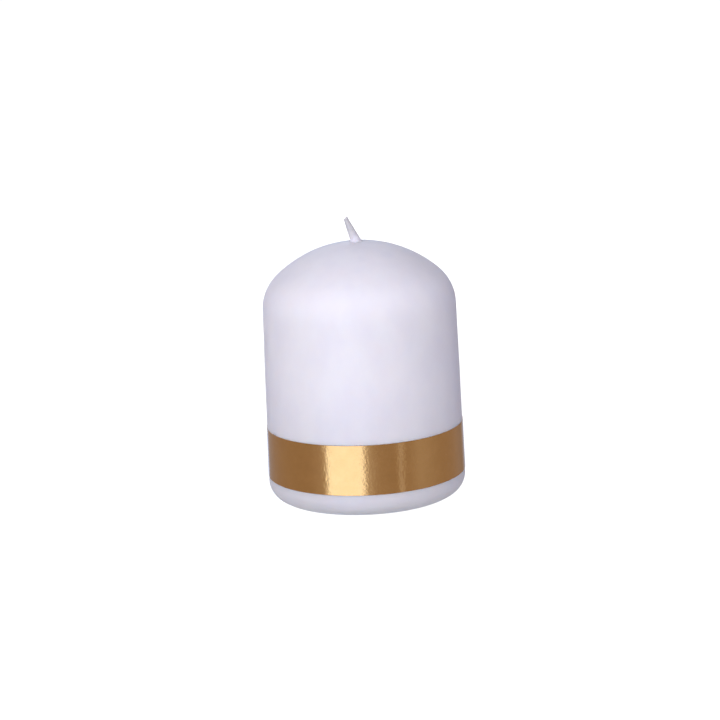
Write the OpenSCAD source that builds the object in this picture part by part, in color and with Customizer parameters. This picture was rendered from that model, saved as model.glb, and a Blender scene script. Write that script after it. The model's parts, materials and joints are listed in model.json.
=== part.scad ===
// Unity candle: a domed white pillar candle with a gold foil band near its foot.
// A pressed wax core is drilled for the wick, which is held at the base by a tinplate
// sustainer. A hard outer coat of wax is dipped over the core and seals the wick at the crown.
// Millimetres, +Z up. The origin is the centre of the foot, on the surface it stands on.
// The front faces -Y, and the wick leans towards -X.

/* [Candle] */
// Widest diameter, just above the rounded foot
candle_d = 76; // [66:1:90]
// Height of the crown above the foot, without the wick
candle_h = 98.5; // [95:0.5:101]
// Height at which the straight side ends and the dome begins
side_h = 73.5; // [70:0.5:75]
// How much less the radius is at the top of the side than at the foot
side_taper = 1.1; // [0:0.1:2]
// Radius of the rounded shoulder between the side and the crown
shoulder_r = 17.5; // [14:0.5:18]
// Radius of the rounded foot
foot_r = 7; // [4:0.5:9]

/* [Outer wax coat] */
// Thickness of the dipped coat
coat_t = 2.5; // [1.5:0.1:3.5]
// Shrinkage gap that the coat leaves round the core as it cools
coat_gap = 0.1; // [0.08:0.01:0.2]
// Diameter of the patch under the foot that the coat leaves open
base_open_d = 28; // [25:1:36]
// Depth to which the coat runs down the wick channel from the crown
plug_h = 6; // [3:0.5:15]

/* [Wick] */
// Diameter of the braided wick
wick_d = 1.8; // [1.2:0.1:2.4]
// Diameter of the wick where it was cut
wick_tip_d = 1.5; // [1:0.1:1.6]
// Diameter of the channel drilled through the core
channel_d = 4; // [3.6:0.1:6]
// Length of the wick above its root
tail_l = 9; // [6:0.5:14]
// Lean of the wick from upright, towards -X
tail_lean = 22; // [0:1:35]
// Slant of the cut at the tip, from square
cut_slant = 25; // [0:1:35]
// Height of the wick's root above the crown
root_h = 0.7; // [0.7:0.05:1.2]
// Diameter of the wax on the wick at its root
root_d = 3.8; // [3.2:0.1:4.2]
// Thickness of the wax on the wick at its tip
tip_wax_t = 0.15; // [0.1:0.01:0.3]

/* [Sustainer] */
// Diameter of the tinplate disc
disc_d = 21; // [16:1:22]
// Thickness of the tinplate
tin_t = 0.3; // [0.2:0.05:0.4]
// Height of the crimped neck above the disc
neck_h = 6; // [4:0.5:12]
// Depth of the pocket that the disc lies in
pocket_depth = 1; // [0.8:0.1:1.5]

/* [Gold band] */
// Width of the band
band_w = 19; // [8:0.5:38]
// Height of the band's lower edge above the foot
band_z = 9.2; // [9.1:0.1:20]
// Thickness of the gold film
foil_t = 0.12; // [0.1:0.01:0.2]
// Thickness of the adhesive under the film
glue_t = 0.08; // [0.06:0.01:0.12]
// Length of film that laps over its own start, at the back
lap_l = 6; // [3:0.5:12]

/* [Hidden] */
$fn = 96;

WAX_WHITE = "#e9e7f2";
CORE_WHITE = "#f2efe6";
COTTON = "#eeeae0";
TINPLATE = "#b9bcc0";
GLUE_CLEAR = "#e8e2cf";
GOLD = "#b98a45";

candle_r = candle_d / 2;
shoulder_side_r = candle_r - side_taper;

// Clearance of the wick's rounded root in its seat, and the seat's radius.
seat_gap = 0.15;
seat_r = root_d / 2 + seat_gap;
root_z = candle_h + root_h;
// How far the cotton goes below the root's centre without leaving the wax there.
root_depth = 0.8 * root_d / 2;

// The disc lies against the top of its pocket in the core's underside.
disc_gap = 0.1;
core_base_z = coat_t + coat_gap;
disc_top_z = core_base_z + pocket_depth - disc_gap;
disc_z = disc_top_z - tin_t;
pocket_d = disc_d + 1;
neck_wall = 0.3;
bead_r = 6.5;
bead_w = 2;
bead_drop = 0.5;
wick_end_drop = 0.9;

// Overshoot of cutting shapes past the faces they cut.
past = 1;

// Points on an arc in the (radius, height) plane, from angle a0 to a1.
function arc(centre, r, a0, a1, steps) = [
    for (i = [0 : steps]) let (a = a0 + (a1 - a0) * i / steps)
        centre + r * [cos(a), sin(a)]
];

// Outline of the candle's right half, drawn in from its surface by inset. The foot, shoulder and
// crown are arcs about fixed centres, so that each inset runs parallel to the surface.
function outline(inset) =
    let (
        foot_centre = [candle_r - foot_r, foot_r],
        shoulder_centre = [shoulder_side_r - shoulder_r, side_h],
        // The crown's centre is on the axis, where its arc meets the shoulder's smoothly.
        rise = candle_h - side_h - shoulder_r,
        drop = (pow(shoulder_centre.x, 2) - pow(rise, 2)) / (2 * rise),
        crown_centre = [0, side_h - drop],
        crown_r = candle_h - crown_centre.y,
        join = atan2(drop, shoulder_centre.x)
    )
    concat(
        [[0, inset]],
        arc(foot_centre, foot_r - inset, -90, 0, 10),
        arc(shoulder_centre, shoulder_r - inset, 0, join, 12),
        arc(crown_centre, crown_r - inset, join, 90, 16)
    );

// Radius of the tapered side at height z.
function side_r(z) = candle_r - side_taper * (z - foot_r) / (side_h - foot_r);

module candle_solid(inset) {
    rotate_extrude() polygon(outline(inset));
}

// Places its children on the wick's axis above the crown, +Z along the wick.
module along_tail() {
    translate([0, 0, root_z]) rotate([0, -tail_lean, 0]) children();
}

// What the slanted cut takes off the end of the wick.
module tip_cut() {
    reach = 10;
    translate([0, 0, tail_l])
        rotate([0, -cut_slant, 0])
            translate([-reach / 2, -reach / 2, 0]) cube(reach);
}

// Cone about the wick's axis from the root to past the tip, with diameters d0 and d1 there.
module tail_cone(d0, d1) {
    over = 2;
    cylinder(h = tail_l + over, d1 = d0, d2 = d1 + (d1 - d0) * over / tail_l);
}

// The cotton of the exposed wick, from low in its rounded root to past the tip.
module tail_cotton() {
    translate([0, 0, -root_depth]) cylinder(h = root_depth, d = wick_d);
    tail_cone(wick_d, wick_tip_d);
}

// Hard outer coat of dipped wax, with the plug that grips the wick in its channel.
module overdip_shell() {
    color(WAX_WHITE) difference() {
        candle_solid(0);
        difference() {
            candle_solid(coat_t);
            translate([0, 0, candle_h - coat_t - plug_h])
                cylinder(h = plug_h + past, d = channel_d - 2 * coat_gap);
        }
        translate([0, 0, -past]) cylinder(h = coat_t + 2 * past, d = base_open_d);
        translate([0, 0, candle_h / 2]) cylinder(h = candle_h, d = wick_d);
        translate([0, 0, root_z]) sphere(r = seat_r);
    }
}

// Pressed wax core, drilled through for the wick, with the sustainer's pocket beneath.
module pressed_core() {
    color(CORE_WHITE) difference() {
        candle_solid(coat_t + coat_gap);
        cylinder(h = candle_h, d = channel_d);
        cylinder(h = core_base_z + pocket_depth, d = pocket_d);
    }
}

// The wick from below the sustainer up to its root at the crown.
module wick_stem() {
    end_z = disc_z - wick_end_drop;
    color(COTTON) translate([0, 0, end_z])
        cylinder(h = root_z - seat_r - end_z, d = wick_d);
}

// The exposed end of the wick, which bends at its root.
module wick_tail() {
    color(COTTON) along_tail() difference() {
        tail_cotton();
        tip_cut();
    }
}

// The wax that set on the exposed wick, thick at its root and thin at its tip.
module wick_wax() {
    color(WAX_WHITE) along_tail() difference() {
        union() {
            sphere(d = root_d);
            tail_cone(root_d, wick_tip_d + 2 * tip_wax_t);
        }
        tail_cotton();
        tip_cut();
    }
}

// Tinplate sustainer: a disc with a stamped bead and a neck crimped on the wick.
module wick_sustainer() {
    neck_r = wick_d / 2;
    bead_in = bead_r - bead_w / 2;
    bead_out = bead_r + bead_w / 2;
    color(TINPLATE) rotate_extrude() polygon([
        [neck_r, disc_z],
        [bead_in, disc_z],
        [bead_in + bead_drop, disc_z - bead_drop],
        [bead_out - bead_drop, disc_z - bead_drop],
        [bead_out, disc_z],
        [disc_d / 2, disc_z],
        [disc_d / 2, disc_top_z],
        [bead_out - tin_t / 2, disc_top_z],
        [bead_out - tin_t / 2 - bead_drop, disc_top_z - bead_drop],
        [bead_in + tin_t / 2 + bead_drop, disc_top_z - bead_drop],
        [bead_in + tin_t / 2, disc_top_z],
        [neck_r + 2 * neck_wall, disc_top_z],
        [neck_r + neck_wall, disc_top_z + neck_wall],
        [neck_r + neck_wall, disc_top_z + neck_h],
        [neck_r, disc_top_z + neck_h]
    ]);
}

// Section of a layer of the band, from inner to outer above the wax's surface.
module band_section(inner, outer) {
    top_z = band_z + band_w;
    polygon([
        [side_r(band_z) + inner, band_z],
        [side_r(band_z) + outer, band_z],
        [side_r(top_z) + outer, top_z],
        [side_r(top_z) + inner, top_z]
    ]);
}

// Layer of pressure-sensitive adhesive that holds the film to the wax.
module band_adhesive() {
    color(GLUE_CLEAR) rotate_extrude() band_section(0, glue_t);
}

// Gold film, wound once round the candle and lapped over its start at the back.
module band_foil() {
    lap_angle = lap_l / candle_r * 180 / PI;
    outer = glue_t + foil_t;
    color(GOLD) union() {
        rotate_extrude() band_section(glue_t, outer);
        rotate([0, 0, 90 - lap_angle / 2])
            rotate_extrude(angle = lap_angle) band_section(outer - foil_t / 2, outer + foil_t);
    }
}

overdip_shell();
pressed_core();
wick_stem();
wick_tail();
wick_wax();
wick_sustainer();
band_adhesive();
band_foil();
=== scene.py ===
"""Unity candle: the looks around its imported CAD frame. Metres, +Z up, the front faces -Y."""
import json
import math

import bmesh
import bpy
import numpy as np
from mathutils import Matrix, Vector, noise


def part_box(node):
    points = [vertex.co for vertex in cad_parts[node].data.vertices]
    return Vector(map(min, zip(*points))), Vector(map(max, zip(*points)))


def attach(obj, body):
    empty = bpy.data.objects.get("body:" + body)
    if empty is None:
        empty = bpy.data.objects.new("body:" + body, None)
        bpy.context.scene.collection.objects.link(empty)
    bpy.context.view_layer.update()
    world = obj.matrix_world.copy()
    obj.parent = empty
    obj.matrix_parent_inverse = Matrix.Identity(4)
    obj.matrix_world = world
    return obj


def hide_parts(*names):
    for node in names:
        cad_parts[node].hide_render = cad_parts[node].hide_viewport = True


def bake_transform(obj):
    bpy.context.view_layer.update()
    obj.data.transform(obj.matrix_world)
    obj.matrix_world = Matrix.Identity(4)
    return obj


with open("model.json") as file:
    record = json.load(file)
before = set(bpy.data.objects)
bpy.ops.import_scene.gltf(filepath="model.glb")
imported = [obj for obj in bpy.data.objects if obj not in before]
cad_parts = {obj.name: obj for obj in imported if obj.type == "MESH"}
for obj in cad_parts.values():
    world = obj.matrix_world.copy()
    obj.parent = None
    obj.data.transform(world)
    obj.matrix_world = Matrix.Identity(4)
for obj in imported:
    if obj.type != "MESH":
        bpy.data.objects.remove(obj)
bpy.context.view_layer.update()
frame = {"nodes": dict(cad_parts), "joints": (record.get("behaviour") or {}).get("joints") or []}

MM = 0.001

# ---- Sizes that the frame gives ----------------------------------------------------------------

BAND_LOW, BAND_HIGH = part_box("band_adhesive")
DISC_LOW, DISC_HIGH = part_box("wick_sustainer")
STEM_LOW, STEM_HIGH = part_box("wick_stem")
ROOT = Vector(frame["joints"][0]["pos_m"])
CANDLE_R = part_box("overdip_shell")[1].x
WICK_R = STEM_HIGH.x

# ---- Sizes repeated from the CAD source, which the frame's boxes don't show --------------------

ROOT_H = 0.7 * MM
CANDLE_H = ROOT.z - ROOT_H
SIDE_H = 73.5 * MM
SIDE_TAPER = 1.1 * MM
SHOULDER_R = 17.5 * MM
FOOT_R = 7 * MM
COAT_T = 2.5 * MM
COAT_GAP = 0.1 * MM
OPEN_R = 14 * MM
PLUG_H = 6 * MM
CHANNEL_R = 2 * MM
POCKET_R = 11 * MM
POCKET_H = 1 * MM
ROOT_R = 1.9 * MM
TIP_R = 0.9 * MM
TAIL_L = 9 * MM
TAIL_LEAN = math.radians(22)
CUT_SLANT = math.radians(25)
GLUE_T = 0.08 * MM
FILM_T = 0.12 * MM
LAP_L = 6 * MM
TIN_T = 0.3 * MM
BEAD_R = 6.5 * MM
BEAD_W = 2 * MM
BEAD_DROP = 0.5 * MM
NECK_WALL = 0.3 * MM


# ---- Curves and meshes -------------------------------------------------------------------------

def smooth(value, low, high):
    """0 below low, 1 above high, and a smooth step between them."""
    t = min(1.0, max(0.0, (value - low) / (high - low)))
    return t * t * (3 - 2 * t)


def arc(centre, radius, start, end, pitch):
    """Points about a pitch apart on an arc in the (radius, height) plane. Angles in degrees."""
    steps = max(2, round(math.radians(abs(end - start)) * radius / pitch))
    angles = [math.radians(start + (end - start) * i / steps) for i in range(steps + 1)]
    return [(centre[0] + radius * math.cos(a), centre[1] + radius * math.sin(a)) for a in angles]


def line(start, end, pitch):
    """Points about a pitch apart on a straight line in the (radius, height) plane."""
    steps = max(1, round(math.dist(start, end) / pitch))
    return [tuple(s + (e - s) * i / steps for s, e in zip(start, end)) for i in range(steps + 1)]


def chain(*stretches):
    """Stretches of points joined end to end, without repeating the points that they share."""
    points = []
    for stretch in stretches:
        points += [p for p in stretch if not points or math.dist(p, points[-1]) > 1e-6]
    return points


def outline(inset, inner_r, hole_r, pitch):
    """The candle's outline, drawn in by inset, from inner_r underneath to hole_r at the crown."""
    shoulder = (CANDLE_R - SIDE_TAPER - SHOULDER_R, SIDE_H)
    rise = CANDLE_H - SIDE_H - SHOULDER_R
    drop = (shoulder[0] ** 2 - rise ** 2) / (2 * rise)
    crown_r = CANDLE_H - SIDE_H + drop - inset
    join = math.degrees(math.atan2(drop, shoulder[0]))
    top = math.degrees(math.acos(hole_r / crown_r))
    foot_arc = arc((CANDLE_R - FOOT_R, FOOT_R), FOOT_R - inset, -90, 0, pitch)
    shoulder_arc = arc(shoulder, SHOULDER_R - inset, 0, join, pitch)
    return chain(
        line((inner_r, inset), foot_arc[0], pitch),
        foot_arc,
        line(foot_arc[-1], shoulder_arc[0], pitch),
        shoulder_arc,
        arc((0, SIDE_H - drop), crown_r, join, top, pitch),
    )


def side_r(z):
    """Radius of the tapered side at a height."""
    return CANDLE_R - SIDE_TAPER * (z - FOOT_R) / (SIDE_H - FOOT_R)


def crown_drop(radius):
    """How far the crown has fallen below its apex at a radius from the axis."""
    rise = CANDLE_H - SIDE_H - SHOULDER_R
    reach = CANDLE_R - SIDE_TAPER - SHOULDER_R
    crown_r = CANDLE_H - SIDE_H + (reach ** 2 - rise ** 2) / (2 * rise)
    return radius ** 2 / (2 * crown_r)


def outward(point):
    """The level direction from the candle's axis towards a point."""
    return Vector((point.x, point.y, 0)).normalized()


def grid_faces(rows, columns, close_rows, close_columns):
    """Quads between rows x columns of vertices, joined up where a direction closes on itself."""
    return [
        (r * columns + c,
         r * columns + (c + 1) % columns,
         (r + 1) % rows * columns + (c + 1) % columns,
         (r + 1) % rows * columns + c)
        for r in range(rows if close_rows else rows - 1)
        for c in range(columns if close_columns else columns - 1)
    ]


def new_piece(name, points, faces, crease=50):
    """A smooth-shaded mesh object; edges that turn by more than crease degrees stay sharp."""
    mesh = bpy.data.meshes.new(name)
    mesh.from_pydata([tuple(p) for p in points], [], faces)
    mesh.shade_smooth()
    mesh.set_sharp_from_angle(angle=math.radians(crease))
    mesh.update()
    piece = bpy.data.objects.new(name, mesh)
    bpy.context.scene.collection.objects.link(piece)
    return piece


def lathe(name, section, columns, move=None, crease=50):
    """A closed section of (radius, height) points, anticlockwise, turned round the candle's axis.
    move(point, normal) says where a point of the surface goes."""
    points = []
    for before, here, after in zip(section[-1:] + section[:-1], section, section[1:] + section[:1]):
        along = Vector((after[0] - before[0], after[1] - before[1])).normalized()
        for c in range(columns):
            turn = 2 * math.pi * c / columns
            point = Vector((here[0] * math.cos(turn), here[0] * math.sin(turn), here[1]))
            normal = Vector((along.y * math.cos(turn), along.y * math.sin(turn), -along.x))
            points.append(move(point, normal) if move else point)
    return new_piece(name, points, grid_faces(len(section), columns, True, True), crease)


# ---- Node materials ----------------------------------------------------------------------------

def new_material(name, **settings):
    """A material and its node tree, with uniform values set on the shader's own sockets."""
    material = bpy.data.materials.new(name)
    material.use_nodes = True
    shader = material.node_tree.nodes["Principled BSDF"]
    for socket, value in settings.items():
        shader.inputs[socket.replace("_", " ")].default_value = value
    return material, material.node_tree, shader


def pattern(tree, size, detail=4, grit=0.5, stretch=(1, 1, 1)):
    """The value of a noise whose features are about size metres across, longer along stretch.
    Each of its detail finer layers is grit times as strong as the one before."""
    place = tree.nodes.new("ShaderNodeTexCoord")
    scale = tree.nodes.new("ShaderNodeMapping")
    texture = tree.nodes.new("ShaderNodeTexNoise")
    scale.inputs["Scale"].default_value = [1 / (size * s) for s in stretch]
    for socket, number in (("Scale", 1), ("Detail", detail), ("Roughness", grit)):
        texture.inputs[socket].default_value = number
    tree.links.new(place.outputs["Object"], scale.inputs["Vector"])
    tree.links.new(scale.outputs["Vector"], texture.inputs["Vector"])
    return texture.outputs["Fac"]


def tint(tree, value, stops):
    """A colour ramp over a value; stops are (position, colour) pairs."""
    ramp = tree.nodes.new("ShaderNodeValToRGB")
    elements = ramp.color_ramp.elements
    while len(elements) < len(stops):
        elements.new(0.5)
    for element, (position, colour) in zip(elements, stops):
        element.position, element.color = position, (*colour, 1)
    tree.links.new(value, ramp.inputs["Fac"])
    return ramp.outputs["Color"]


def spread(tree, value, low, high):
    """A noise's middle range, 0.3 to 0.7, spread from low to high."""
    node = tree.nodes.new("ShaderNodeMapRange")
    for socket, number in zip(("From Min", "From Max", "To Min", "To Max"), (0.3, 0.7, low, high)):
        node.inputs[socket].default_value = number
    tree.links.new(value, node.inputs["Value"])
    return node.outputs["Result"]


def relief(tree, shader, *layers):
    """Bump layers, each a (value, depth in metres) pair, stacked on the shader's normal."""
    last = None
    for value, depth in layers:
        bump = tree.nodes.new("ShaderNodeBump")
        bump.inputs["Strength"].default_value = 1
        bump.inputs["Distance"].default_value = depth
        tree.links.new(value, bump.inputs["Height"])
        if last:
            tree.links.new(last, bump.inputs["Normal"])
        last = bump.outputs["Normal"]
    tree.links.new(last, shader.inputs["Normal"])


def wax(name, pale, shade, glow, gloss, grain):
    """Paraffin: cloudy between two near whites, lit from within, with a skin of fine grain.
    glow is the depth that light reaches, gloss the skin's roughness, grain its relief's depth."""
    material, tree, shader = new_material(
        name, Subsurface_Weight=1.0, Subsurface_Radius=(1.0, 0.9, 0.85), Subsurface_Scale=glow,
        IOR=1.44, Specular_IOR_Level=0.4)
    cloud = pattern(tree, 9 * MM, detail=3, stretch=(1, 1, 1.8))
    tree.links.new(tint(tree, cloud, [(0.35, shade), (0.65, pale)]), shader.inputs["Base Color"])
    haze = pattern(tree, 2.5 * MM, detail=5)
    tree.links.new(spread(tree, haze, gloss - 0.06, gloss + 0.08), shader.inputs["Roughness"])
    swell, skin = pattern(tree, 7 * MM, detail=1), pattern(tree, 0.6 * MM, detail=4)
    relief(tree, shader, (swell, 6 * grain), (skin, grain))
    return material


def pressed_wax(name):
    """Wax pressed from powder: pale grains with darker seams, duller than dipped wax."""
    material, tree, shader = new_material(
        name, Subsurface_Weight=1.0, Subsurface_Radius=(1.0, 0.9, 0.8), Subsurface_Scale=0.5 * MM,
        IOR=1.44, Specular_IOR_Level=0.3)
    grain_size = 0.8 * MM
    place = tree.nodes.new("ShaderNodeTexCoord")
    grains = tree.nodes.new("ShaderNodeTexVoronoi")
    grains.inputs["Scale"].default_value = 1 / grain_size
    tree.links.new(place.outputs["Object"], grains.inputs["Vector"])
    distance = grains.outputs["Distance"]
    colour = tint(tree, distance, [(0.25, (0.86, 0.84, 0.80)), (0.75, (0.68, 0.66, 0.62))])
    tree.links.new(colour, shader.inputs["Base Color"])
    tree.links.new(spread(tree, pattern(tree, 1.5 * MM), 0.55, 0.75), shader.inputs["Roughness"])
    relief(tree, shader, (distance, -0.12 * MM), (pattern(tree, 0.3 * MM), 0.02 * MM))
    return material


def wick_drip(name, deep, thin):
    """The wax on the wick: white where it is deep, greyer where it is thin over the cotton. The
    mesh's own colour layer, "depth", says which."""
    material, tree, shader = new_material(
        name, Subsurface_Weight=1.0, Subsurface_Radius=(1.0, 0.9, 0.85), Subsurface_Scale=0.5 * MM,
        IOR=1.44, Specular_IOR_Level=0.4)
    layer = tree.nodes.new("ShaderNodeVertexColor")
    layer.layer_name = "depth"
    blotch = tree.nodes.new("ShaderNodeMath")
    blotch.operation = "ADD"
    tree.links.new(layer.outputs["Color"], blotch.inputs[0])
    tree.links.new(spread(tree, pattern(tree, 0.9 * MM, detail=3), -0.2, 0.2), blotch.inputs[1])
    colour = tint(tree, blotch.outputs["Value"], [(0.0, thin), (1.0, deep)])
    tree.links.new(colour, shader.inputs["Base Color"])
    haze = pattern(tree, 0.7 * MM, detail=4)
    tree.links.new(spread(tree, haze, 0.36, 0.55), shader.inputs["Roughness"])
    relief(tree, shader, (pattern(tree, 1.1 * MM, detail=3), 0.05 * MM), (haze, 0.01 * MM))
    return material


def gold_film(name):
    """Metallised film: gold under a clear face, dimpled like the adhesive that it is pressed on."""
    material, tree, shader = new_material(
        name, Metallic=1.0, Coat_Weight=0.25, Coat_Roughness=0.08, Coat_IOR=1.5)
    drift = pattern(tree, 5 * MM, detail=7, grit=0.8)
    colour = tint(tree, drift, [(0.35, (0.775, 0.372, 0.111)), (0.65, (0.83, 0.405, 0.128))])
    tree.links.new(colour, shader.inputs["Base Color"])
    mottle = pattern(tree, 0.8 * MM, detail=5)
    tree.links.new(spread(tree, mottle, 0.10, 0.16), shader.inputs["Roughness"])
    dimples, grit = pattern(tree, 0.9 * MM, detail=2), pattern(tree, 0.35 * MM, detail=3)
    relief(tree, shader, (dimples, 0.045 * MM), (grit, 0.008 * MM))
    return material


def tinplate(name):
    """Bright stamped tinplate, with rolling marks and a little handling wear."""
    material, tree, shader = new_material(name, Metallic=1.0)
    rolled = pattern(tree, 0.25 * MM, detail=4, stretch=(30, 1, 1))
    worn = pattern(tree, 2 * MM, detail=5)
    colour = tint(tree, worn, [(0.35, (0.66, 0.64, 0.60)), (0.65, (0.74, 0.72, 0.68))])
    tree.links.new(colour, shader.inputs["Base Color"])
    tree.links.new(spread(tree, worn, 0.20, 0.30), shader.inputs["Roughness"])
    relief(tree, shader, (rolled, 0.001 * MM), (worn, 0.004 * MM))
    return material


def cotton(name):
    """Cotton yarn soaked in wax: fibres along the yarn, pale where the wax stands on it."""
    material, tree, shader = new_material(
        name, Subsurface_Weight=0.4, Subsurface_Radius=(1.0, 0.9, 0.8), Subsurface_Scale=0.3 * MM)
    fibre = pattern(tree, 0.06 * MM, detail=4, stretch=(1, 1, 8))
    soak = pattern(tree, 0.9 * MM, detail=3)
    colour = tint(tree, soak, [(0.35, (0.66, 0.63, 0.60)), (0.65, (0.80, 0.78, 0.78))])
    tree.links.new(colour, shader.inputs["Base Color"])
    tree.links.new(spread(tree, soak, 0.65, 0.45), shader.inputs["Roughness"])
    relief(tree, shader, (fibre, 0.015 * MM))
    return material


def adhesive(name):
    """Clear pressure-sensitive adhesive seen edge on: milky, with dust along it."""
    material, tree, shader = new_material(name, Transmission_Weight=0.3, IOR=1.47)
    dust = pattern(tree, 0.5 * MM, detail=5)
    colour = tint(tree, dust, [(0.35, (0.62, 0.55, 0.40)), (0.65, (0.80, 0.76, 0.66))])
    tree.links.new(colour, shader.inputs["Base Color"])
    tree.links.new(spread(tree, dust, 0.35, 0.55), shader.inputs["Roughness"])
    relief(tree, shader, (dust, 0.01 * MM))
    return material


# ---- The candle's wax --------------------------------------------------------------------------

def skin_wave(point):
    """How far the dipped skin stands out: long swells, which lie flat under the band, at the wick
    and on the foot's face, and a soft bead where the last drops gathered round the foot."""
    long_wave, short_wave, swell_depth = 19 * MM, 7 * MM, 0.05 * MM
    bead_z, bead_top, bead_depth, drops_round = 2 * MM, 5 * MM, 0.1 * MM, 2.2
    radius = math.hypot(point.x, point.y)
    swell = noise.noise(point / long_wave) + 0.4 * noise.noise(point / short_wave)
    below_band = 1 - smooth(point.z, BAND_LOW.z - 2 * MM, BAND_LOW.z)
    above_band = smooth(point.z, BAND_HIGH.z, BAND_HIGH.z + 4 * MM)
    off_band = max(below_band, above_band)
    off_wick = smooth(math.hypot(radius, CANDLE_H - point.z), 3 * MM, 12 * MM)
    off_floor = smooth(point.z, 0, bead_z)
    bead = off_floor * (1 - smooth(point.z, bead_z, bead_top))
    drops = 0.5 + 0.5 * noise.noise(outward(point) * drops_round)
    return (swell_depth * swell * off_wick * off_floor + bead_depth * bead * drops) * off_band


def wax_coat():
    """The outer coat: a closed shell with a rolled lip round the open patch under the foot."""
    columns, skin_pitch, inner_pitch, plug_pitch = 256, 0.8 * MM, 3 * MM, 2 * MM
    lip_r, lip_w, lip_top = 0.9 * MM, 2.5 * MM, 3 * MM
    hole_r = WICK_R + 0.02 * MM
    plug_r = CHANNEL_R - COAT_GAP
    plug_z = CANDLE_H - COAT_T - PLUG_H
    lip = arc((OPEN_R + lip_r, lip_r), lip_r, 180, 270, lip_r / 5)
    outer = outline(0, OPEN_R + lip_r, hole_r, skin_pitch)
    inner = outline(COAT_T, OPEN_R, plug_r, inner_pitch)
    plug = [(hole_r, plug_z), (plug_r, plug_z)]
    section = chain(lip, outer, line(outer[-1], plug[0], plug_pitch), plug, reversed(inner))

    def settle(point, normal):
        near_hole = 1 - smooth(math.hypot(point.x, point.y), OPEN_R, OPEN_R + lip_w)
        at_lip = near_hole * (1 - smooth(point.z, lip_top, lip_top + MM))
        turn = outward(point)
        ragged = 0.35 * MM * noise.noise(turn * 3.1) + 0.12 * MM * noise.noise(turn * 11)
        return point + skin_wave(point) * normal + at_lip * ragged * turn

    return lathe("wax_coat", section, columns, settle)


def wax_core():
    """The pressed core, whose underside shows the grains of wax that it was pressed from."""
    columns, shown_pitch, pocket_pitch, hidden_pitch = 224, 0.3 * MM, 0.5 * MM, 3 * MM
    grain, dip, edge_w = 0.9 * MM, 3 * MM, 0.8 * MM
    base_z = COAT_T + COAT_GAP
    pocket_z = base_z + POCKET_H
    outer = outline(base_z, POCKET_R, CHANNEL_R, hidden_pitch)
    shown = line((POCKET_R, base_z), (OPEN_R + 2 * MM, base_z), shown_pitch)
    hidden = [p for p in outer if p[0] > OPEN_R + 2.5 * MM or p[1] > base_z + MM]
    section = chain(
        line((CHANNEL_R, pocket_z), (POCKET_R, pocket_z), pocket_pitch),
        line((POCKET_R, pocket_z), (POCKET_R, base_z), shown_pitch),
        shown, hidden,
        line(outer[-1], (CHANNEL_R, pocket_z), hidden_pitch),
    )

    def press(point, normal):
        radius = math.hypot(point.x, point.y)
        low = 1 - smooth(point.z, 4 * MM, 6 * MM)
        clear = smooth(radius, CHANNEL_R, CHANNEL_R + 2 * MM)
        edge = smooth(math.dist((radius, point.z), (POCKET_R, base_z)), 0, edge_w)
        distances, _ = noise.voronoi(point / grain)
        grains = 0.16 * (0.45 - distances[0]) + 0.08 * noise.noise(point / dip)
        return point + grains * low * clear * edge * MM * normal

    return lathe("wax_core", section, columns, press)


# ---- The sustainer -----------------------------------------------------------------------------

def tin_sustainer():
    """The stamped disc with its bead, and the neck crimped on the wick from four sides."""
    columns, pitch, bead_rise = 144, 0.25 * MM, 0.3 * MM
    jaws_low, jaws_high, jaw_round = 1.6 * MM, 5 * MM, 0.6 * MM
    jaw_count, jaw_depth = 4, 0.16 * MM
    under = DISC_LOW.z + BEAD_DROP
    edge_r = DISC_HIGH.x - TIN_T / 2
    fillet_r = 0.6 * MM
    fillet_x = WICK_R + NECK_WALL + fillet_r
    wall_r = NECK_WALL / 2

    def sheet(radius):
        across = min(1.0, abs(radius - BEAD_R) / (BEAD_W / 2 + bead_rise))
        return under - BEAD_DROP * 0.5 * (1 + math.cos(math.pi * across))

    radii = [p[0] for p in line((WICK_R, 0), (edge_r, 0), pitch)]
    below = [(r, sheet(r)) for r in radii]
    above = [(r, sheet(r) + TIN_T) for r in reversed(radii) if r > fillet_x]
    rim = arc((edge_r, under + TIN_T / 2), TIN_T / 2, -90, 90, TIN_T / 6)
    fillet = arc((fillet_x, under + TIN_T + fillet_r), fillet_r, 270, 180, fillet_r / 5)
    mouth = arc((WICK_R + wall_r, DISC_HIGH.z - wall_r), wall_r, 0, 180, NECK_WALL / 5)
    section = chain(
        below, rim, above, fillet, line(fillet[-1], mouth[0], pitch), mouth,
        line(mouth[-1], (WICK_R, under), pitch)[:-1],
    )

    def crimp(point, normal):
        turn = math.atan2(point.y, point.x)
        height = point.z - under - TIN_T
        closed = 1 - smooth(height, jaws_high - jaw_round, jaws_high)
        jaws = smooth(height, jaws_low, jaws_low + jaw_round) * closed
        dent = jaw_depth * jaws * max(0.0, math.cos(jaw_count * turn)) ** 2
        return point - dent * outward(point)

    return lathe("tin_sustainer", section, columns, crimp, crease=40)


# ---- The wick ----------------------------------------------------------------------------------

BEND_LOW, BEND_HIGH = -0.9 * MM, 0.3 * MM
STRANDS = 3
PLAIT_PITCH = 5.6 * MM
PLY_PITCH = 0.55 * MM
PLAIT_WIDE = 0.60 * MM
PLAIT_DEEP = 0.34 * MM
STRAND_R = 0.28 * MM
TIP_SHARE = 0.84
TIP_H = ROOT_H + TAIL_L


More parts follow.
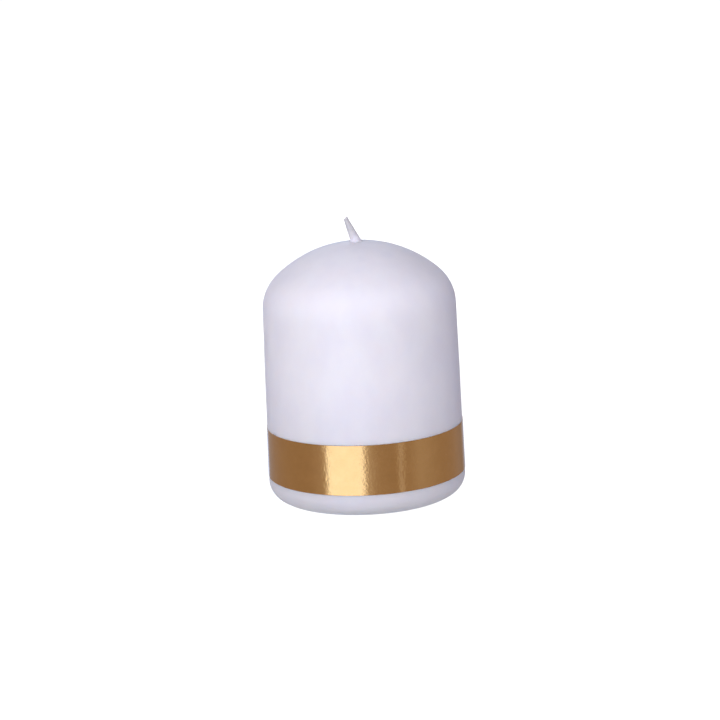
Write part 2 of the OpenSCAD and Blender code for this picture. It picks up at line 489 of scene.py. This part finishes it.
def wick_axis(height):
    """The wick's own line: its point and its lean where the length above the crown is height.
    It is upright in the candle, and turns to its lean as it leaves the crown."""
    steps = 24
    point = Vector((0, 0, CANDLE_H + min(height, BEND_LOW)))
    if height <= BEND_LOW:
        return point, 0.0
    bent = min(height, BEND_HIGH) - BEND_LOW
    for i in range(steps):
        part = TAIL_LEAN * smooth(BEND_LOW + (i + 0.5) * bent / steps, BEND_LOW, BEND_HIGH)
        point += Vector((-math.sin(part), 0, math.cos(part))) * (bent / steps)
    lean = TAIL_LEAN * smooth(height, BEND_LOW, BEND_HIGH)
    straight = max(0.0, height - BEND_HIGH)
    return point + Vector((-math.sin(lean), 0, math.cos(lean))) * straight, lean


def on_wick(across, deep, height):
    """A point beside the wick's line: across in the plane of its lean, deep along Y."""
    point, lean = wick_axis(height)
    return point + Vector((across * math.cos(lean), deep, across * math.sin(lean)))


def strand_at(index, height):
    """Where a strand of the flat plait lies across the wick, and how much the plait has thinned."""
    turn = 2 * math.pi * (height / PLAIT_PITCH + index / STRANDS)
    share = 1 - (1 - TIP_SHARE) * smooth(height, 0, TIP_H)
    return PLAIT_WIDE * share * math.sin(turn), PLAIT_DEEP * share * math.sin(2 * turn), share


def add_strand(bm, index):
    """One strand: a yarn of twisted plies along its way through the plait, cut at the tip."""
    sides, plies, ply_depth, pitch, over = 24, 5, 0.09, 0.3 * MM, 0.8 * MM
    bottom = STEM_LOW.z - CANDLE_H
    rows = round((TIP_H + over - bottom) / pitch)
    heights = [bottom + pitch * i for i in range(rows + 1)]
    spine = [on_wick(*strand_at(index, h)[:2], h) for h in heights]
    rings = []
    for i, (point, height) in enumerate(zip(spine, heights)):
        along = (spine[min(i + 1, rows)] - spine[max(i - 1, 0)]).normalized()
        side = along.cross(Vector((0, 1, 0))).normalized()
        other = side.cross(along)
        share = strand_at(index, height)[2]
        ring = []
        for s in range(sides):
            turn = 2 * math.pi * s / sides
            lobes = 1 + ply_depth * math.cos(plies * (turn - height / PLY_PITCH))
            way = math.cos(turn) * side + math.sin(turn) * other
            ring.append(bm.verts.new(point + STRAND_R * share * lobes * way))
        rings.append(ring)
    for low, high in zip(rings, rings[1:]):
        for s in range(sides):
            n = (s + 1) % sides
            bm.faces.new((low[s], high[s], high[n], low[n]))
    bm.faces.new(rings[0])
    bm.faces.new(reversed(rings[-1]))


def wick_braid():
    """The cotton wick: three strands plaited flat, from under the sustainer to the slanted cut."""
    bm = bmesh.new()
    for index in range(STRANDS):
        add_strand(bm, index)
    proud = 0.05 * MM
    tip, lean = wick_axis(TIP_H + proud)
    slope = lean + CUT_SLANT
    cut = bmesh.ops.bisect_plane(
        bm, geom=bm.verts[:] + bm.edges[:] + bm.faces[:], plane_co=tip,
        plane_no=(-math.sin(slope), 0, math.cos(slope)), clear_outer=True)
    edges = [e for e in cut["geom_cut"] if isinstance(e, bmesh.types.BMEdge)]
    bmesh.ops.holes_fill(bm, edges=edges)
    bmesh.ops.recalc_face_normals(bm, faces=bm.faces[:])
    piece = new_piece("wick_braid", [], [])
    bm.to_mesh(piece.data)
    bm.free()
    piece.data.shade_smooth()
    piece.data.set_sharp_from_angle(angle=math.radians(60))
    return piece


def plait_reach(turn, height):
    """How far the plait reaches from the wick's line in the direction of turn."""
    share = strand_at(0, height)[2]
    spots = [strand_at(i, height)[:2] for i in range(STRANDS)]
    return max(x * math.cos(turn) + y * math.sin(turn) for x, y in spots) + STRAND_R * share


def on_tail(across, deep, height):
    """A point beside the exposed wick's leaning line, which runs straight on into the crown."""
    start, lean = wick_axis(BEND_HIGH)
    along = Vector((-math.sin(lean), 0, math.cos(lean)))
    side = Vector((math.cos(lean), 0, math.sin(lean)))
    return start + along * (height - BEND_HIGH) + side * across + Vector((0, deep, 0))


def wick_coat():
    """The wax on the wick: a cone that is sunk in the crown and spreads a little on it, with the
    plait showing through more and more towards the slanted cut."""
    columns, pitch, hidden_pitch, rim_pitch = 72, 0.12 * MM, 0.4 * MM, 0.05 * MM
    sunk, skin, rim_r, base_r, centre_r = 1.5 * MM, 0.06 * MM, 0.1 * MM, 0.3 * MM, 0.02 * MM
    spread_r, spread_h, spread_power = 0.4 * MM, 0.8 * MM, 3
    lump_size, lump_round, lump_depth = 1.1 * MM, 1.2 * MM, 0.06 * MM
    plait_share, cut_h = 0.15, 3 * MM
    slope = (ROOT_R - TIP_R) / TAIL_L

    def cone(height):
        return ROOT_R - slope * (height - ROOT_H)

    section = chain(
        line((base_r, -sunk), (cone(-sunk), -sunk), hidden_pitch),
        line((cone(-sunk), -sunk), (cone(TIP_H - rim_r), TIP_H - rim_r), pitch),
        arc((TIP_R - rim_r, TIP_H - rim_r), rim_r, 0, 90, rim_pitch),
        line((TIP_R - rim_r, TIP_H), (centre_r, TIP_H), pitch),
    )
    points, depths = [], []
    for radius, height in section:
        full = cone(height)
        shown = plait_share * smooth(height, 0.5 * TIP_H, TIP_H)
        lumpy = lump_depth * smooth(height, 0, 2 * MM)
        slant = math.tan(CUT_SLANT) * smooth(height, TIP_H - cut_h, TIP_H)
        depth = 1 - smooth(height, 0, 0.6 * TIP_H)
        for c in range(columns):
            turn = 2 * math.pi * c / columns
            way = Vector((math.cos(turn), math.sin(turn), 0))
            plait = min(full, plait_reach(turn, height) + skin)
            lump = lumpy * noise.noise((way * lump_round + Vector((0, 0, height))) / lump_size)
            reach = radius * (1 + (shown * (plait - full) + lump) / full)
            slid = height + slant * reach * way.x
            spot = on_tail(reach * way.x, reach * way.y, slid)
            rise = spot.z - CANDLE_H + crown_drop(math.hypot(spot.x, spot.y))
            clear = min(1, max(0, rise / spread_h))
            reach += spread_r * radius / full * (1 - clear) ** spread_power
            points.append(on_tail(reach * way.x, reach * way.y, slid))
            depths.append(depth)
    faces = grid_faces(len(section), columns, False, True)
    faces.append([columns - 1 - c for c in range(columns)])
    faces.append([(len(section) - 1) * columns + c for c in range(columns)])
    piece = new_piece("wick_coat", points, faces)
    layer = piece.data.color_attributes.new("depth", "FLOAT_COLOR", "POINT")
    for i, depth in enumerate(depths):
        layer.data[i].color = (depth, depth, depth, 1)
    return piece


# ---- The band ----------------------------------------------------------------------------------

def gold_band():
    """The gold film, wound once round from the back: its end rises on a ramp and laps over its
    own start. Its face ripples a little."""
    face_rows, back_rows, pitch, edge = 20, 5, 0.5 * MM, 0.04 * MM
    ramp, air = 2.5 * MM, 0.02 * MM
    ripple_l, ripple_w, seed = 9 * MM, 14 * MM, 3.7
    ripple_depth, fine_depth = 0.018 * MM, 0.008 * MM
    low, high = BAND_LOW.z, BAND_HIGH.z
    round_l = 2 * math.pi * CANDLE_R
    columns = round((round_l + LAP_L) / pitch)
    face = [(0, low), (FILM_T - edge, low), (FILM_T, low + edge)]
    face += [(FILM_T, low + (high - low) * i / face_rows) for i in range(1, face_rows)]
    face += [(FILM_T, high - edge), (FILM_T - edge, high), (0, high)]
    back = [(0, high - (high - low) * i / back_rows) for i in range(1, back_rows)]
    section = face + back
    points = []
    for c in range(columns + 1):
        length = c * (round_l + LAP_L) / columns
        turn = math.pi / 2 - LAP_L / CANDLE_R / 2 + length / CANDLE_R
        lift = (FILM_T + air) * smooth(length, round_l - ramp, round_l)
        for off, z in section:
            spot = Vector((length / ripple_l, z / ripple_w, seed))
            ripple = ripple_depth * noise.noise(spot) + fine_depth * noise.noise(spot * 3)
            radius = side_r(z) + GLUE_T + lift + off + (ripple if off > 0 else 0)
            points.append((radius * math.cos(turn), radius * math.sin(turn), z))
    count = len(section)
    faces = grid_faces(columns + 1, count, False, True)
    faces = [tuple(reversed(f)) for f in faces]
    faces.append(tuple(range(count)))
    faces.append(tuple(columns * count + i for i in reversed(range(count))))
    return new_piece("gold_band", points, faces, crease=35)


# ---- Stage, light and camera -------------------------------------------------------------------

FLOOR_GLOW, UNDER_GLOW, EDGE_GLOW = 0.95, 0.6, 0.45
BOX_DISTANCE, BOX_SIZE = 1.5, 1.0
TENT_R, TENT_LOW, TENT_HIGH = 1.5, -5, 2.5
TENT_DIM = (0.34, 0.335, 0.35)
TENT_BRIGHT = (1.37, 1.92, 3.0)
# Azimuths round the tent, and how far its colour is there from dim to bright. The wide bright
# stretch makes the band's broad streak, and the narrow one near 40 its thin streak.
TENT_SHARES = [
    (-180, 0.3), (-162, 0.3), (-158, 0), (-70, 0), (-48, 0.06), (-45, 1), (-4, 1), (-1, 0.18),
    (12, 0.03), (36, 0), (38, 0.2), (41, 0.2), (43, 0), (52, 0.03), (64, 0.08), (100, 0),
    (130, 0), (150, -0.06), (180, 0.3),
]


def direction(azimuth, elevation):
    """From the candle towards a light or the camera: azimuth 0 is in front, 90 to the right."""
    a, e = math.radians(azimuth), math.radians(elevation)
    return Vector((math.sin(a) * math.cos(e), -math.cos(a) * math.cos(e), math.sin(e)))


def put_on_stage(piece, material, passed_by):
    """Gives a stage piece its material. Rays of the kinds in passed_by go through it."""
    piece.data.materials.append(material)
    for ray in passed_by:
        setattr(piece, "visible_" + ray, False)


def stage_ring(name, start, end, material, passed_by):
    """A ring of the stage, between two (radius, height) circles round the candle's axis."""
    sides = 96
    turns = [2 * math.pi * i / sides for i in range(sides)]
    points = [(r * math.cos(t), r * math.sin(t), z) for r, z in (start, end) for t in turns]
    put_on_stage(new_piece(name, points, grid_faces(2, sides, False, True)), material, passed_by)


def plain_glow(name, strength):
    """A black surface that gives off an even white light."""
    material, _, _ = new_material(
        name, Base_Color=(0, 0, 0, 1), Emission_Color=(1, 1, 1, 1), Emission_Strength=strength)
    return material


def pale_floor():
    """The floor as it is seen: pale and glowing from above, and clear from below."""
    material, tree, shader = new_material(
        "pale_floor", Roughness=0.9, Specular_IOR_Level=0.1, Emission_Color=(1, 1, 1, 1),
        Emission_Strength=FLOOR_GLOW)
    grain = pattern(tree, 40 * MM)
    colour = tint(tree, grain, [(0.3, (0.46, 0.46, 0.47)), (0.7, (0.50, 0.50, 0.51))])
    tree.links.new(colour, shader.inputs["Base Color"])
    clear = tree.nodes.new("ShaderNodeBsdfTransparent")
    side = tree.nodes.new("ShaderNodeNewGeometry")
    mix = tree.nodes.new("ShaderNodeMixShader")
    tree.links.new(side.outputs["Backfacing"], mix.inputs["Fac"])
    tree.links.new(shader.outputs["BSDF"], mix.inputs[1])
    tree.links.new(clear.outputs["BSDF"], mix.inputs[2])
    tree.links.new(mix.outputs["Shader"], tree.nodes["Material Output"].inputs["Surface"])
    return material


def floor():
    """A wide pale floor that only the camera sees, with a hole where the candle covers it. A wide
    reflector and two glowing rings just below it only light the candle."""
    wide, near, flat_r = 30, 50 * MM, CANDLE_R - FOOT_R
    hole_r, centre_r, below = flat_r + 2 * MM, MM, -MM
    white, _, _ = new_material("reflector", Base_Color=(0.48, 0.48, 0.49, 1), Roughness=0.9)
    seen_only = ("diffuse", "glossy", "transmission", "shadow")
    light_only = ("camera", "glossy", "transmission", "shadow")
    stage_ring("floor", (wide, 0), (hole_r, 0), pale_floor(), seen_only)
    stage_ring("reflector", (wide, below), (near, below), white, light_only)
    stage_ring("under_glow", (flat_r, below), (centre_r, below),
               plain_glow("under_glow", UNDER_GLOW), light_only)
    stage_ring("edge_glow", (near, below), (flat_r, below),
               plain_glow("edge_glow", EDGE_GLOW), light_only)


def flag():
    """A low dark wall round the candle, unseen, which shades its foot and the wax by the band."""
    radius, height = 230 * MM, 51 * MM
    dark, _, _ = new_material("flag_black", Base_Color=(0.02, 0.02, 0.02, 1), Roughness=0.9)
    stage_ring("flag", (radius, 0), (radius, height), dark, ("camera", "glossy"))


def softbox(name, azimuth, elevation, power, colour):
    """A square soft light that faces the candle's middle. It lights surfaces, but isn't mirrored
    in them."""
    lamp = bpy.data.lights.new(name, "AREA")
    lamp.size, lamp.energy, lamp.color = BOX_SIZE, power, colour
    box = bpy.data.objects.new(name, lamp)
    bpy.context.scene.collection.objects.link(box)
    way = direction(azimuth, elevation)
    box.location = Vector((0, 0, CANDLE_H / 2)) + way * BOX_DISTANCE
    box.rotation_mode = "QUATERNION"
    box.rotation_quaternion = way.to_track_quat("Z", "Y")
    box.visible_camera = False
    box.visible_glossy = False


def tent():
    """A ring of reflectors round the candle, which only mirrors show. Between the azimuths listed
    its colour shades from one mix of dim and bright to the next."""
    columns = 360
    turns = [360 * c / columns - 180 for c in range(columns)]
    points = [
        direction(turn, 0) * TENT_R + Vector((0, 0, z))
        for z in (TENT_LOW, TENT_HIGH) for turn in turns
    ]
    piece = new_piece("tent", points, grid_faces(2, columns, False, True))
    azimuths, shares = zip(*TENT_SHARES)
    glow = piece.data.color_attributes.new("glow", "FLOAT_COLOR", "POINT")
    for i in range(len(points)):
        share = float(np.interp(turns[i % columns], azimuths, shares))
        glow.data[i].color = (*(d + (b - d) * share for d, b in zip(TENT_DIM, TENT_BRIGHT)), 1)
    material = bpy.data.materials.new("tent")
    material.use_nodes = True
    tree = material.node_tree
    tree.nodes.remove(tree.nodes["Principled BSDF"])
    source = tree.nodes.new("ShaderNodeVertexColor")
    source.layer_name = "glow"
    shine = tree.nodes.new("ShaderNodeEmission")
    tree.links.new(source.outputs["Color"], shine.inputs["Color"])
    tree.links.new(shine.outputs["Emission"], tree.nodes["Material Output"].inputs["Surface"])
    material.cycles.emission_sampling = "NONE"
    put_on_stage(piece, material, ("camera", "diffuse", "shadow", "transmission", "volume_scatter"))


def sky(ambient, mirrored, seen):
    """The light from all round: one colour falls on surfaces, one is mirrored, one is seen."""
    # A Mix node has sockets of each kind: these are the places of its two colours and its result.
    under, over, result = 6, 7, 2
    world = bpy.data.worlds.new("studio")
    world.use_nodes = True
    bpy.context.scene.world = world
    tree = world.node_tree
    path = tree.nodes.new("ShaderNodeLightPath")
    last = None
    for ray, colour in (("Is Glossy Ray", mirrored), ("Is Camera Ray", seen)):
        mix = tree.nodes.new("ShaderNodeMix")
        mix.data_type = "RGBA"
        mix.inputs[over].default_value = (*colour, 1)
        tree.links.new(path.outputs[ray], mix.inputs["Factor"])
        if last:
            tree.links.new(last, mix.inputs[under])
        else:
            mix.inputs[under].default_value = (*ambient, 1)
        last = mix.outputs[result]
    tree.links.new(last, tree.nodes["Background"].inputs["Color"])


def camera():
    """A long lens a little above the candle, rolled so that the candle leans in the picture."""
    lens, film, distance, elevation, roll = 105, 36, 0.806, 12.18, 2.69
    aim_height, slide = 49.4 * MM, Vector((-0.84 * MM, 2.87 * MM, 0))
    eye = bpy.data.objects.new("camera", bpy.data.cameras.new("camera"))
    bpy.context.scene.collection.objects.link(eye)
    eye.data.lens, eye.data.sensor_width = lens, film
    eye.data.clip_start, eye.data.clip_end = 0.01, 100
    back = direction(0, elevation)
    turn = back.to_track_quat("Z", "Y").to_matrix() @ Matrix.Rotation(-math.radians(roll), 3, "Z")
    eye.location = Vector((0, 0, aim_height)) + back * distance + turn @ slide
    eye.rotation_euler = turn.to_euler()
    bpy.context.scene.camera = eye


def studio():
    """Soft light: three softboxes across the front, which fill in for each other, two for the
    back, the tent that mirrors show, and the sky."""
    for name, azimuth, elevation, power, colour in (
        ("key", -15, 18, 10.2, (1.0, 1.04, 0.76)),
        ("left", -45, 20, 8.9, (1.0, 0.93, 1.22)),
        ("right", 45, 20, 8.3, (1.0, 0.95, 1.15)),
        ("back", 180, 18, 12.8, (1.0, 1.0, 0.93)),
        ("back_left", -105, 18, 1.8, (1.0, 1.0, 1.0)),
    ):
        softbox(name, azimuth, elevation, power, colour)
    tent()
    sky((0.162, 0.163, 0.190), (0.33, 0.33, 0.34), (1.0, 1.0, 1.0))
    bpy.context.scene.view_settings.view_transform = "Standard"


# ---- Assembly ----------------------------------------------------------------------------------

def dress(piece, material, nodes, body=None):
    """Gives a piece its material, hides the CAD nodes that it stands for, and attaches it to its
    body when one is given.
    """
    piece.data.materials.clear()
    piece.data.materials.append(material)
    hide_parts(*nodes)
    if body:
        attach(piece, body)


def main():
    camera()
    floor()
    flag()
    studio()
    skin = wax("dipped_wax", (0.86, 0.84, 0.915), (0.83, 0.81, 0.895), 2.2 * MM, 0.42, 0.006 * MM)
    drip = wick_drip("wick_wax", (0.73, 0.71, 0.785), (0.59, 0.58, 0.615))
    dress(wax_coat(), skin, ["overdip_shell"], "candle")
    dress(wax_core(), pressed_wax("pressed_wax"), ["pressed_core"], "candle")
    dress(tin_sustainer(), tinplate("tinplate"), ["wick_sustainer"], "candle")
    dress(gold_band(), gold_film("gold_film"), ["band_foil"], "candle")
    glue = frame["nodes"]["band_adhesive"]
    glue.data.materials.clear()
    glue.data.materials.append(adhesive("adhesive"))
    bend_l = 5.6 * MM
    for piece, material, slot_name, nodes in (
        (wick_braid(), cotton("cotton"), "cotton", ["wick_stem", "wick_tail"]),
        (wick_coat(), drip, "wick_wax", ["wick_wax"]),
    ):
        dress(piece, material, nodes)
        wick_axis(0)[0]
        wick_axis(bend_l)[0]
        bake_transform(piece)


main()
